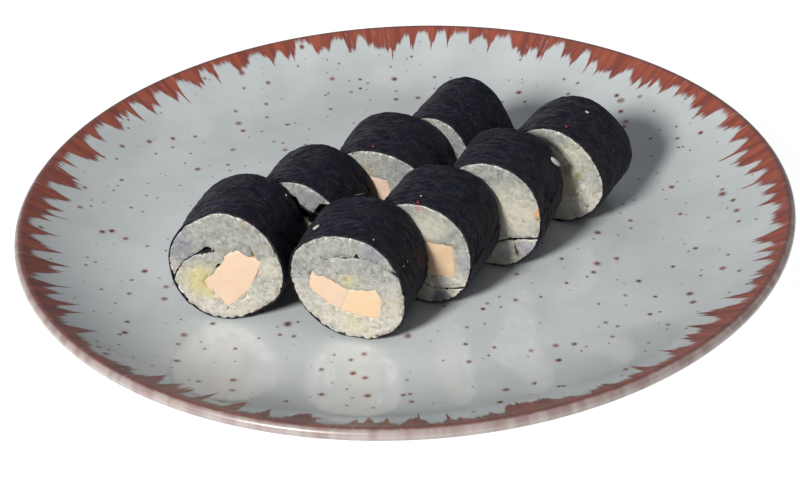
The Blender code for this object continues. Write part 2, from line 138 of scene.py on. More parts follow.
ROLLS = (
    Roll(
        "left_1", front=(-57.3, -61.0), turn=15.5, length=24.4, radius=20.1,
        lobes=((2, 1.15, 56), (3, 0.3, -12), (4, 0.45, -20)),
        tail=Tail(seam=201, sweep=-92, depth=12.4, bend=1.8),
        sticks={
            "salmon": (
                (-8.4, -5.9), (-0.7, -15.2), (5.9, -8.8), (9.2, -3.4), (12.2, 3.1), (8.8, 5.3),
                (4.1, 7.0), (0.0, 3.9), (-1.1, 0.7),
            ),
        },
        hollows=(
            (
                (-9.0, 4.8), (-7.4, 3.9), (-5.7, 4.2), (-4.5, 5.6), (-3.6, 6.3), (-4.1, 7.5), (-5.8, 7.4),
                (-7.4, 6.0),
            ),
            ((-3.4, -0.2), (-2.2, 1.6), (-1.5, 0.9), (-2.6, -1.2)),
        ),
        cracks=(
            (0.32, ((9.4, 8.2), (9.9, 6.6), (10.3, 5.0))),
            (0.08, ((11.7, 2.4), (10.8, -0.6), (9.6, -3.4))),
            (0.14, ((6.1, -9.3), (5.2, -10.8), (3.9, -12.2))),
            (0.2, ((-0.5, -14.9), (-0.8, -15.8), (-1.0, -16.6))),
            (0.1, ((-6.4, -4.4), (-4.2, -2.4), (-2.4, -0.8))),
            (0.14, ((-3.8, 6.8), (-3.1, 6.7), (-2.4, 6.6))),
        ),
        stains_and_painted_shade=(
            ("cream", (15.0, 1.0), 6.0, 0.8), ("cream", (2.0, -17.5), 6.0, 0.7),
            ("yellow", (-8.2, -5.6), 9.0, 1.0), ("grey", (-14.5, 6.5), 8.5, 0.95),
            ("brown", (10.0, 5.6), 1.5, 0.6), ("brown", (10.6, 0.0), 1.6, 0.45),
            ("brown", (8.3, 17.6), 1.6, 0.5), ("brown", (14.2, 9.3), 1.6, 0.5),
            ("brown", (17.1, -7.3), 1.6, 0.5), ("dark", (5.9, 15.3), 0.5, 0.8),
            ("dark", (-1.0, 11.5), 0.5, 0.8), ("dark", (-13.4, 8.3), 0.5, 0.8),
            ("dark", (14.7, 11.2), 0.5, 0.7),
        ),
        opening=0.15, uneven=0.45, crumbs=(("pale", 46, 22.5, 30, 0.4, 0.2),),
    ),
    Roll(
        "left_2", front=(-35.8, -40.2), turn=21, length=25.1, radius=19.3,
        lobes=((2, 0.3, 88), (3, 0.1, -49), (4, 0.2, -12)),
        tail=Tail(seam=148, sweep=-95, depth=9.2, bend=2.6),
        sticks={"salmon": ((-9, -6), (1, -11), (8, -4), (5, 4.5), (-6, 4.5))},
        hollows=(
            (
                (-5.0, 12.5), (0.0, 13.9), (1.4, 13.9), (2.3, 11.5), (4.3, 10.1), (6.7, 8.6), (9.6, 12.6),
                (12.3, 12.6), (15.0, 8.0), (16.6, 3.0), (16.0, -2.0), (9.5, -2.0), (7.8, 3.2), (4.0, 5.6),
                (-2.0, 7.5),
            ),
        ),
        stains_and_painted_shade=(("grey", (6.0, 14.0), 8.0, 0.8),), opening=0.0,
        crumbs=(("pale", 24, 16.5, 115, 3.7, 0.2),),
    ),
    Roll(
        "left_3", front=(-8.5, -21.7), turn=18.8, length=27.5, radius=19.9,
        lobes=((2, 0.5, -17), (3, 0.15, 25), (4, 0.15, 33)),
        tail=Tail(seam=215, sweep=80, depth=8.5, bend=2.2),
        sticks={
            "salmon": ((-8, -1), (-6.5, 9.4), (3.9, 8), (5.2, 0.5), (3, -4.5)),
            "radish": ((5.7, 0.7), (3.5, -4.7), (7.5, -8.5), (12, -3.5)),
        },
        stains_and_painted_shade=(("brown", (-3.0, 11.0), 3.5, 0.4), ("grey", (8.0, 13.0), 7.0, 0.6)),
        tones={"salmon": ((0.56, 0.42, 0.34), (0.50, 0.37, 0.29))},
        crumbs=(("red", 94, 2.0, 20, 0.7, 0.5),),
    ),
    Roll(
        "left_4", front=(13.3, 2.4), turn=31.3, length=28.5, radius=17.5,
        lobes=((2, 1.75, 121), (3, 0.25, -43), (4, 0.3, -17)),
        tail=Tail(seam=-52, sweep=-80, depth=6.8, bend=2.2),
        sticks={"salmon": ((-4.5, -5), (4.5, -5.5), (5.5, 5), (-1, 8.5), (-6, 4.5))}, spread=1.07,
        stains_and_painted_shade=(("grey", (8.0, 10.0), 9.0, 0.8),),
    ),
    Roll(
        "right_1", front=(-18.6, -73.9), turn=19.2, length=23.0, radius=19.5,
        lobes=((2, 0.8, -54), (3, 0.3, 54), (4, 0.35, -32)),
        tail=Tail(seam=21, sweep=107, depth=8.6, bend=2.8),
        sticks={
            "salmon": (
                (-12.9, -0.4), (-11.5, 3.9), (-5.1, 2.0), (0.3, -0.7), (-1.7, -6.1), (-3.2, -8.7),
                (-6.4, -7.1), (-12.4, -2.6),
            ),
            "radish": (
                (0.2, -0.7), (4.5, -0.5), (8.8, 0.9), (10.9, -2.8), (9.9, -9.8), (4.0, -9.9),
                (-3.3, -8.9), (-1.8, -6.2),
            ),
        },
        hollows=(((2.5, 11.5), (4.9, 11.3), (3.7, 13.5)),),
        cracks=(
            (0.16, ((-10.9, 4.9), (-11.9, 4.2), (-12.4, 2.6))),
            (0.2, ((-5.6, 10.2), (-2.4, 11.1), (-1.2, 11.6))),
            (0.2, ((-8.6, 10.5), (-7.3, 9.8), (-6.1, 9.4))),
        ),
        stains_and_painted_shade=(
            ("cream", (0.0, -14.0), 10.0, 0.85), ("cream", (15.0, -4.0), 6.0, 0.6),
            ("yellow", (0.5, 2.8), 3.6, 0.6), ("yellow", (2.0, -13.0), 5.0, 0.3),
            ("grey", (9.0, 14.5), 7.0, 0.85), ("grey", (-15.5, 5.0), 5.0, 0.5),
            ("grey", (-6.1, -15.4), 2.0, 0.6), ("brown", (-0.7, 3.6), 1.3, 0.7),
            ("brown", (11.5, -3.7), 1.3, 0.6), ("brown", (3.5, -10.3), 1.2, 0.5),
            ("dark", (-3.4, 17.9), 0.7, 0.7), ("dark", (-18.4, 2.4), 0.9, 0.8),
            ("dark", (-2.2, -17.6), 0.9, 0.8), ("dark", (8.6, -16.6), 0.9, 0.8),
            ("dark", (13.0, -14.0), 0.8, 0.8),
        ),
        opening=0.02, uneven=0.22, mouth=0.4,
        crumbs=(
            ("pale", 125, 6.5, 160, 1.3, 0.6), ("pale", 23, 8.5, 40, 0.5, 0.22),
            ("pale", 24, 5.0, 120, 0.4, 0.22), ("pale", 64, 2.5, 80, 0.4, 0.2),
        ),
    ),
    Roll(
        "right_2", front=(3.3, -55.7), turn=25.5, length=25.3, radius=19.5,
        lobes=((2, 0.4, 31), (3, 0.2, -52), (4, 0.25, 42)),
        tail=Tail(seam=-28, sweep=-88, depth=8.4, bend=2.6),
        sticks={
            "radish": ((1.1, 5.4), (12.4, 5.7), (13, -6.2), (1.2, -7.2)),
            "salmon": ((-12, -2.5), (-9, 6), (0.7, 5), (0.8, -7.2), (-8, -7.5)),
        },
        hollows=(
            ((9.3, -11.5), (10.2, -10.6), (10.9, -11.3), (10.0, -11.8)),
            ((2.9, -11.5), (3.5, -10.8), (4.0, -11.4)),
        ),
        cracks=((0.1, ((13.4, 5.0), (13.7, 0.0), (13.4, -6.0))),),
        stains_and_painted_shade=(
            ("cream", (5.0, 11.0), 9.0, 0.7), ("lilac", (16.5, 0.0), 4.5, 0.8),
            ("slate", (9.0, -15.5), 5.5, 0.9), ("brown", (13.6, 0.0), 1.6, 0.4),
            ("pink", (1.2, 17.6), 1.8, 0.6),
        ),
        # The radish here is painted darker than the usual radish: painted shadow of right_1.
        opening=0.06, uneven=0.2, tones={"radish": ((0.52, 0.39, 0.265), (0.47, 0.345, 0.225))},
        crumbs=(("red", 87, 0.5, 60, 0.7, 0.55), ("pale", 89, 4.5, 10, 0.4, 0.22)),
    ),
    Roll(
        "right_3", front=(28.5, -37.0), turn=23.1, length=24.7, radius=19.2,
        lobes=((2, 1.2, 97), (3, 0.2, 23), (4, 0.2, -42)),
        tail=Tail(seam=-20, sweep=-90, depth=10.0, bend=5.0),
        sticks={"salmon": ((-11, -3), (-9.5, 6), (-2, 9), (1.5, 0.5), (-3, -5.5))},
        hollows=(((6.1, -8.6), (6.6, -7.4), (9.3, -7.3), (10.0, -7.9), (8.0, -8.7)),),
        cracks=((0.5, ((8.4, -9.8), (9.2, -13.4), (10.2, -16.9))),),
        stains_and_painted_shade=(
            ("cream", (7.0, 3.0), 13.0, 0.85), ("lilac", (12.8, -11.5), 5.5, 0.95),
            ("lilac", (5.0, -14.5), 4.0, 0.6), ("orange", (16.4, 3.4), 2.2, 0.9),
            ("brown", (16.2, 1.8), 1.6, 0.8),
        ),
        opening=0.32, uneven=0.85, mouth=0.3, crumbs=(("pale", 34, 22.5, 155, 2.6, 0.95),),
    ),
    Roll(
        "right_4", front=(51.8, -10.1), turn=31.1, length=26.3, radius=19.2,
        lobes=((2, 0.9, -9), (3, 0.2, -40), (4, 0.35, -3)),
        tail=Tail(seam=170, sweep=-158, depth=9.4, bend=2.2),
        sticks={
            "salmon": ((-9, 2), (2, 2.6), (3, -6), (-6.5, -8)),
            "radish": ((2.5, 2.3), (9.2, 0.4), (9.6, -6.4), (3.5, -6.2)),
        },
        hollows=(((13.4, -9.0), (14.4, -8.6), (14.9, -9.6), (13.9, -10.0)),),
        stains_and_painted_shade=(
            ("cream", (8.0, 9.0), 9.0, 0.7), ("cream", (8.0, -12.0), 6.0, 0.5),
            ("green", (6.8, 4.2), 2.9, 0.85), ("green", (10.3, 2.4), 2.1, 0.9),
            ("lilac", (12.0, -13.5), 4.5, 0.6),
        ),
        opening=-0.25, uneven=0.2, loose=(((13.5, -4.5), 6.0),),
        # The radish here is painted dull olive-grey, like rice in shade: painted shade.
        tones={"radish": ((0.36, 0.34, 0.27), (0.35, 0.32, 0.235))},
        crumbs=(("red", 78, 3.5, 0, 0.6, 0.5), ("pale", 72, 17.5, 0, 0.7, 0.45)),
    ),
)


# Shader maths.


class Socket:
    """An output of a shader node. Arithmetic on it adds Math nodes."""

    def __init__(self, finish, output):
        self.finish = finish
        self.output = output

    def joined(self, operation, first, second):
        return self.finish.node("ShaderNodeMath", {"operation": operation}, {0: first, 1: second})[0]

    def __add__(self, other):
        return self.joined("ADD", self, other)

    def __radd__(self, other):
        return self.joined("ADD", other, self)

    def __sub__(self, other):
        return self.joined("SUBTRACT", self, other)

    def __rsub__(self, other):
        return self.joined("SUBTRACT", other, self)

    def __mul__(self, other):
        return self.joined("MULTIPLY", self, other)

    def __rmul__(self, other):
        return self.joined("MULTIPLY", other, self)

    def __truediv__(self, other):
        return self.joined("DIVIDE", self, other)

    def larger(self, other):
        return self.joined("MAXIMUM", self, other)


class Outputs:
    """The outputs of one node, by name or number."""

    def __init__(self, finish, made):
        self.finish = finish
        self.made = made

    def __getitem__(self, key):
        return Socket(self.finish, self.made.outputs[key])


class Finish:
    """A material and the nodes that it is made of. Places are in millimetres."""

    def __init__(self, name):
        self.material = bpy.data.materials.new(name)
        self.material.use_nodes = True
        self.tree = self.material.node_tree
        self.tree.nodes.clear()
        coordinates = self.node("ShaderNodeTexCoord", {}, {})["Object"]
        self.place = self.scaled(coordinates, 1 / MM)

    def node(self, kind, settings, inputs):
        """Adds a node. Its settings are made first, then its sockets get values or links."""
        made = self.tree.nodes.new(kind)
        for name, value in settings.items():
            setattr(made, name, value)
        for key, value in inputs.items():
            if isinstance(value, Socket):
                self.tree.links.new(value.output, made.inputs[key])
            else:
                made.inputs[key].default_value = value
        return Outputs(self, made)

    def vector(self, operation, first, second):
        return self.node("ShaderNodeVectorMath", {"operation": operation}, {0: first, 1: second})

    def part(self, vector, axis):
        """One of the three numbers of a vector."""
        return self.node("ShaderNodeSeparateXYZ", {}, {0: vector})[axis]

    def scaled(self, vector, scale):
        return self.node("ShaderNodeVectorMath", {"operation": "SCALE"}, {0: vector, "Scale": scale})[0]

    def stretched(self, vector, factors):
        return self.vector("MULTIPLY", vector, factors)[0]

    def between(self, vector, point):
        """Distance from a place to a point."""
        return self.vector("DISTANCE", vector, point)["Value"]

    def noise(self, place, size, detail=2.0, roughness=0.5):
        """Soft noise from 0 to 1 whose spots are about size millimetres."""
        inputs = {"Vector": place, "Scale": 1 / size, "Detail": detail, "Roughness": roughness}
        return self.node("ShaderNodeTexNoise", {}, inputs)["Fac"]

    def cells(self, place, room, dimensions="3D"):
        """Distance from the middle of a random cell, and the cell's own three numbers from 0 to 1."""
        inputs = {"Vector": place, "Scale": 1 / room}
        cells = self.node("ShaderNodeTexVoronoi", {"voronoi_dimensions": dimensions}, inputs)
        return cells["Distance"] * room, self.node("ShaderNodeSeparateColor", {}, {0: cells["Color"]})

    def smooth(self, value, low, high):
        """0 below low, 1 above high, a soft step between them. Low may be the larger one."""
        settings = {"interpolation_type": "SMOOTHSTEP"}
        flip = low > high
        inputs = {"Value": value, "From Min": min(low, high), "From Max": max(low, high)}
        inputs |= {"To Min": 1.0 if flip else 0.0, "To Max": 0.0 if flip else 1.0}
        return self.node("ShaderNodeMapRange", settings, inputs)["Result"]

    def peaks(self, value, sharpness):
        """Sharp ridges from 0 to 1 where a noise passes its middle."""
        off = (value - 0.5).larger(0.5 - value)
        return (1.0 - off * sharpness).larger(0.0)

    def blend(self, share, first, second):
        """A colour between two colours."""
        colours = {6: first, 7: second}
        for key, value in colours.items():
            if not isinstance(value, Socket):
                colours[key] = (*value, 1.0)
        return self.node("ShaderNodeMix", {"data_type": "RGBA"}, {0: share, **colours})[2]

    def relief(self, height, depth, strength=1.0):
        """A bump normal from a height of 0 to 1 over a depth in millimetres."""
        inputs = {"Height": height, "Distance": depth * MM, "Strength": strength}
        return self.node("ShaderNodeBump", {}, inputs)["Normal"]

    def surface(self, **inputs):
        """Ends the material in a Principled shader. Socket names have _ for a space."""
        named = {key.replace("_", " "): value for key, value in inputs.items()}
        shader = self.node("ShaderNodeBsdfPrincipled", {}, named)["BSDF"]
        self.node("ShaderNodeOutputMaterial", {}, {"Surface": shader})
        return self.material


# Finishes.


def glaze():
    """Pale blue-grey stoneware glaze with iron specks and a rim brushed with rust-red slip."""
    paint = Finish("speckled_glaze")
    place = paint.place
    flat = paint.stretched(place, (1, 1, 0))
    radius = paint.between(flat, (0, 0, 0))
    heading = paint.node("ShaderNodeVectorMath", {"operation": "NORMALIZE"}, {0: flat})[0]
    facing = paint.node("ShaderNodeNewGeometry", {}, {})["Normal"]
    upward = paint.part(facing, "Z")
    top = paint.smooth(upward, 0.15, 0.6)

    pale = paint.noise(place, 22.0, 3.0)
    colour = paint.blend(paint.smooth(pale, 0.3, 0.7), (0.42, 0.45, 0.455), (0.475, 0.505, 0.51))

    # Specks: one size of cell for each size of speck, and a cell's own number says how large its speck is.
    ragged = paint.noise(place, 0.7, 2.0)
    specks = ((6.0, 0.5, 0.35), (9.0, 0.8, 0.5), (13.0, 1.0, 0.5), (23.0, 1.2, 0.4))
    for room, size, share in specks:
        distance, chance = paint.cells(flat, room, "2D")
        reach = paint.smooth(chance["Red"], 1 - share, 1.25) * size * 1.6
        away = distance + (ragged - 0.5) * 0.7 * size
        halo = paint.smooth(away - reach * 1.6, 0.35, -0.4) * paint.smooth(reach, 0.02, 0.1)
        core = paint.smooth(away - reach * 0.95, 0.18, -0.22) * paint.smooth(reach, 0.02, 0.1)
        tone = paint.blend(chance["Green"], (0.045, 0.017, 0.018), (0.15, 0.026, 0.02))
        colour = paint.blend(halo * 0.42, colour, (0.27, 0.14, 0.115))
        colour = paint.blend(core * (0.55 + 0.4 * chance["Blue"]), colour, tone)

    # The brushed rim: tongues and bristle marks are noise round the rim, set against the way in.
    def around(spots, detail, roughness=0.5):
        """Noise that changes only round the rim, and more finely with more spots."""
        return paint.noise(paint.scaled(heading, spots), 1.0, detail, roughness)

    inward = PLATE_RADIUS - radius
    tongues = paint.peaks(around(15.0, 0.0), 6.5)
    teeth = paint.peaks(around(45.0, 1.0), 5.0)
    bristles = around(150.0, 2.0, 0.7)
    drift = paint.noise(flat, 2.5, 2.0)
    spread = paint.smooth(around(5.0, 1.0), 0.3, 0.72)
    reach = 3.8 + 1.5 * spread + (5.5 + 5.5 * spread) * tongues * (0.75 + 0.25 * teeth) + 1.5 * teeth
    streaks = paint.smooth(around(75.0, 0.0), 0.66, 0.76)
    reach = reach + 5.0 * streaks * tongues + 3.2 * (bristles - 0.5) + 1.6 * (drift - 0.5)
    brushed = paint.smooth(inward - reach, 0.9, -1.6)
    worn = paint.smooth(bristles + 0.35 * (drift - 0.5), 0.27, 0.4)
    brushed = brushed * (0.7 + 0.3 * worn) * top
    rust = paint.blend(paint.smooth(around(40.0, 3.0), 0.35, 0.65), (0.17, 0.042, 0.03), (0.29, 0.072, 0.04))
    thin = paint.smooth(inward / reach, 0.6, 1.0)
    rust = paint.blend(thin * 0.5, rust, (0.115, 0.05, 0.052))
    # Painted shade: a dull grey-brown band just inside the lip, for the shade on the lip's inner side.
    rust = paint.blend(paint.smooth(inward, 3.8, 1.6) * 0.75, rust, (0.105, 0.060, 0.057))
    colour = paint.blend(brushed, colour, rust)
    lip = paint.smooth(inward + 0.8 * (drift - 0.5), 1.9, 1.0)
    mild = paint.smooth(around(30.0, 1.0), 0.4, 0.65)
    edge = paint.blend(mild, (0.28, 0.24, 0.23), (0.21, 0.155, 0.145))
    colour = paint.blend(lip * 0.9, colour, edge)

    # The foot ring is ground bare.
    bare = paint.smooth(paint.part(place, "Z"), 1.0, 0.5) * paint.smooth(upward, -0.5, -0.9)
    colour = paint.blend(bare, colour, (0.50, 0.43, 0.35))
    rough = 0.09 + 0.25 * brushed + 0.45 * bare
    waves = paint.noise(place, 11.0, 1.0)
    return paint.surface(
        Base_Color=colour,
        Roughness=rough,
        Normal=paint.relief(waves * 0.8 + brushed * 0.2, 0.04),
        IOR=1.5,
    )


def seaweed():
    """Nearly black pressed seaweed, moist, with fine wrinkles that run round the roll."""
    paint = Finish("moist_nori")
    place = paint.place
    drift = paint.node("ShaderNodeTexNoise", {}, {"Vector": place, "Scale": 0.25, "Detail": 1.0})["Color"]
    swayed = paint.vector("ADD", place, paint.scaled(drift, 5.0))[0]
    streaks = paint.noise(paint.stretched(swayed, (0.35, 1.0, 0.35)), 0.8, 4.0, 0.65)
    fibres = paint.noise(paint.stretched(swayed, (0.22, 1.0, 0.22)), 0.35, 1.0)
    patches = paint.noise(place, 4.5, 2.0)
    tint = paint.noise(place, 6.0, 2.0)
    colour = paint.blend(paint.smooth(tint, 0.42, 0.58), (0.006, 0.004, 0.0092), (0.0022, 0.0044, 0.010))
    streaked = paint.smooth(streaks, 0.45, 0.62) * paint.smooth(patches, 0.3, 0.6)
    colour = paint.blend(streaked * 0.8, colour, (0.025, 0.021, 0.031))
    threads = paint.smooth(fibres, 0.58, 0.7) * paint.smooth(patches, 0.4, 0.65)
    colour = paint.blend(threads * 0.6, colour, (0.055, 0.050, 0.062))
    return paint.surface(
        Base_Color=colour,
        Roughness=0.42 + 0.3 * patches,
        Normal=paint.relief(streaks, 0.35, 0.8),
        IOR=1.4,
        Specular_IOR_Level=0.17,
        Sheen_Weight=0.06,
        Sheen_Roughness=0.35,
        Sheen_Tint=(0.8, 0.76, 0.88, 1.0),
    )


# Colours of the marks on the rice. Cream, yellow, orange, pink and green are stains; grey, lilac and slate
# make the rice greyer and darker there; brown is a stain, and painted shade along the fillings' edges; dark
# is painted shade in small holes and notches.
TINTS = {
    "cream": (0.51, 0.47, 0.365),
    "yellow": (0.53, 0.46, 0.215),
    "orange": (0.60, 0.30, 0.09),
    "pink": (0.33, 0.13, 0.14),
    "green": (0.20, 0.18, 0.07),
    "brown": (0.36, 0.22, 0.10),
    "grey": (0.205, 0.21, 0.225),
    "lilac": (0.26, 0.25, 0.285),
    "slate": (0.10, 0.10, 0.13),
    # Painted shade in small holes and notches.
    "dark": (0.07, 0.055, 0.04),
}


def cooked_rice(roll):
    """Sticky rice: each grain has its own tone, and the fillings have stained the grains round them. Listed
    marks also paint shade in small holes, in notches and along the fillings' edges; the cut is painted
    darker towards the top and lighter towards the bottom, and the rice is painted nearly black deep inside
    the cuts.
    """
    paint = Finish(f"{roll.name}_rice")
    place = paint.place
    grain = paint.node("ShaderNodeNewGeometry", {}, {})["Random Per Island"]
    cloudy = paint.noise(place, 4.5, 2.0)
    mottled = paint.noise(place, 1.3, 3.0, 0.6)
    tone = paint.smooth(grain * 0.1 + cloudy * 0.35 + mottled * 0.55, 0.34, 0.62)
    # Painted shade and light: the cut is painted darker and greyer towards the top and lighter towards the
    # bottom.
    painted_shade_top = paint.blend(tone, (0.185, 0.188, 0.165), (0.335, 0.333, 0.295))
    painted_light_bottom = paint.blend(tone, (0.35, 0.33, 0.27), (0.56, 0.52, 0.44))
    colour = paint.blend(paint.smooth(paint.part(place, "Z"), 13.0, -13.0), painted_shade_top, painted_light_bottom)
    # Listed marks: stains, greyer rice, and painted shade in holes, in notches and along the fillings'
    # edges.
    for tint, middle, reach, strength in roll.stains_and_painted_shade:
        cut = paint.stretched(place, (1, 0, 1))
        away = paint.between(cut, (middle[0], 0, middle[1])) + (paint.noise(place, 2.5) - 0.5) * reach
        share = paint.smooth(away, reach, reach * 0.2) * strength
        colour = paint.blend(share, colour, TINTS[tint])
    distance, chance = paint.cells(place, 5.0)
    speck = paint.smooth(distance + mottled, 1.25, 0.7) * paint.smooth(chance["Red"], 0.45, 0.6)
    colour = paint.blend(speck * 0.75, colour, (0.07, 0.06, 0.04))
    # Painted shade: deeper than half a millimetre behind either cut, in holes, cracks and grooves, the rice
    # is painted nearly black.
    depth = paint.part(place, "Y")
    behind = paint.smooth(depth, 0.5, 2.2) * paint.smooth(roll.length - depth, 0.5, 2.2)
    colour = paint.blend(behind, colour, (0.020, 0.013, 0.013))
    skin = paint.noise(place, 0.6, 3.0)
    return paint.surface(
        Base_Color=colour,
        Roughness=0.3 + 0.2 * cloudy,
        Normal=paint.relief(skin * 0.6 + mottled * 0.4, 0.34, 0.8),
        IOR=1.38,
        Subsurface_Weight=0.35,
        Subsurface_Radius=(1.0, 0.85, 0.65),
        Subsurface_Scale=0.9 * MM,
        Coat_Weight=0.2,
        Coat_Roughness=0.15,
    )


def filling(name, first, second):
    """A moist cut filling with faint fibres."""
    paint = Finish(name)
    place = paint.place
    cloudy = paint.noise(place, 6.0, 2.0)
    fibres = paint.noise(paint.stretched(place, (0.3, 1.0, 1.6)), 0.9, 3.0)
    colour = paint.blend(paint.smooth(cloudy, 0.35, 0.65), first, second)
    colour = paint.blend(paint.smooth(fibres, 0.6, 0.8) * 0.25, colour, tuple(part * 0.7 for part in first))
    return paint.surface(
        Base_Color=colour,
        Roughness=0.35 + 0.15 * cloudy,
        Normal=paint.relief(fibres, 0.12, 0.6),
        IOR=1.38,
        Subsurface_Weight=0.3,
        Subsurface_Radius=(1.0, 0.55, 0.35),
        Subsurface_Scale=1.5 * MM,
    )


# Outlines, as lists of (across, up) in the plane of a cut.


def wave(*place):
    """Smooth noise between -1 and 1 at a place given by three numbers."""
    return noise.noise(Vector(place))


def array_of(points):
    return np.array([tuple(point) for point in points])


def polar(angle, radius):
    """A point at an angle in degrees and a distance from the middle."""
    return radius * cos(radians(angle)), radius * sin(radians(angle))


def lobed_radius(roll, angle):
    """Outer radius of the ring before its bottom is pressed flat."""
    lobes = sum(height * cos(radians(count * (angle - at))) for count, height, at in roll.lobes)
    return roll.radius + lobes


def resting_depth(roll):
    """How far the pressed bottom lies below the roll's middle."""
    lowest = min(polar(angle, lobed_radius(roll, angle))[1] for angle in range(360))
    return -lowest - SIT


def ring_radius(roll, angle):
    """Outer radius of the ring, flat where it rests."""
    radius = lobed_radius(roll, angle)
    down = -sin(radians(angle))
    if down > 0:
        radius = min(radius, resting_depth(roll) / down)
    return radius


def lap_height(roll, angle):
    """How far the lap stands out over the ring at an angle: it climbs to the seam and ends in a step."""
    way = -1 if roll.tail.sweep > 0 else 1
    past = ((angle - roll.tail.seam) * way + 180) % 360 - 180
    if -LAP_RISE < past <= 0:
        return LAP * (1 + past / LAP_RISE)
    if 0 < past < LAP_REACH:
        return LAP
    return 0.0


def seed_of(roll):
    """A number of the roll's own, for its random shapes."""
    return 11 + 7 * ROLLS.index(roll)


def tail_line(roll):
    """Middle line of the tail, from the seam to its tip, a little crumpled."""
    tail = roll.tail
    line = []
    for step in range(TAIL_STEPS + 1):
        along = step / TAIL_STEPS
        angle = tail.seam + tail.sweep * along
        crumple = 0.35 * wave(along * 9, seed_of(roll), 0) * min(1, along * 5)
        sunk = NORI / 2 + tail.depth * (1 - (1 - along) ** tail.bend) + crumple
        line.append(Vector(polar(angle, ring_radius(roll, angle) - sunk)))
    return line


def side_points(line, half_widths, side):
    """The line moved sideways by its half widths, to its left for side 1 and to its right for -1."""
    points = []
    for step, (point, half) in enumerate(zip(line, half_widths)):
        before = line[max(step - 1, 0)]
        after = line[min(step + 1, len(line) - 1)]
        heading = (after - before).normalized()
        points.append(point + Vector((-heading.y, heading.x)) * half * side)
    return points


def strip_round(line, half):
    """Closed outline of a strip along a line."""
    halves = [half] * len(line)
    return side_points(line, halves, 1) + side_points(line, halves, -1)[::-1]


def rounded(corners, bite, steps=4):
    """An outline whose corners are arcs that start at a distance before them."""
    points = []
    corners = [Vector(corner) for corner in corners]
    for before, corner, after in zip(corners[-1:] + corners[:-1], corners, corners[1:] + corners[:1]):
        start = corner + (before - corner).normalized() * min(bite, (before - corner).length / 2.2)
        end = corner + (after - corner).normalized() * min(bite, (after - corner).length / 2.2)
        for step in range(steps + 1):
            along = step / steps
            points.append(start * (1 - along) ** 2 + corner * 2 * along * (1 - along) + end * along**2)
    return points


def stepped(line, spacing):
    """A line with points at an even spacing, from its first point to its last."""
    line = array_of(line)
    travelled = np.concatenate([[0], np.cumsum(np.linalg.norm(np.diff(line, axis=0), axis=1))])
    at = np.linspace(0, travelled[-1], max(3, round(travelled[-1] / spacing) + 1))
    return np.column_stack([np.interp(at, travelled, line[:, axis]) for axis in (0, 1)])


# Meshes.


def new_piece(name, points, faces, finish, nodes=(), place=None):
    """A smooth piece from points in millimetres. It rides on the body and replaces its CAD nodes."""
    mesh = bpy.data.meshes.new(name)
    mesh.from_pydata(np.asarray(points) * MM, [], [tuple(face) for face in faces])
    mesh.validate()
    mesh.materials.append(finish)
    mesh.shade_smooth()
    piece = bpy.data.objects.new(name, mesh)
    bpy.context.scene.collection.objects.link(piece)
    if place is not None:
        piece.matrix_world = place
    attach(piece, "root")
    if nodes:
        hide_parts(*nodes)


def roll_piece(roll, kind, points, faces, finish, node):
    """A piece made in a roll's own frame, which stands for one of the roll's CAD nodes."""
    name = f"{roll.name}_{kind}"
    new_piece(name, spread_out(roll, points), faces, finish, [f"{roll.name}_{node}"], roll_place(roll))


def numbered_on(faces, start):
    """Faces whose points come after others in one list."""
    return [tuple(start + corner for corner in face) for face in faces]


def grid_faces(rows, columns, close_rows=False, close_columns=True):
    """Faces of a grid of points, row by row. Either way round may close on itself."""
    index = np.arange(rows * columns).reshape(rows, columns)
    if close_rows:
        index = np.vstack([index, index[:1]])
    if close_columns:
        index = np.hstack([index, index[:, :1]])
    return np.column_stack(
        [index[:-1, :-1].ravel(), index[:-1, 1:].ravel(), index[1:, 1:].ravel(), index[1:, :-1].ravel()]
    )


def roll_place(roll):
    """World matrix of a roll's own frame."""
    height = FLOOR_TOP + GAP + resting_depth(roll)
    turn = Matrix.Rotation(-radians(roll.turn), 4, "Z")
    return Matrix.Translation(Vector((*roll.front, height)) * MM) @ turn


def spread_out(roll, points):
    """Points of a roll with its back cut larger than its front one."""
    points = np.array(points, float)
    rest = -resting_depth(roll)
    spread = 1 + (roll.spread - 1) * points[:, 1] / roll.length
    points[:, 0] *= spread
    points[:, 2] = rest + (points[:, 2] - rest) * spread
    return points


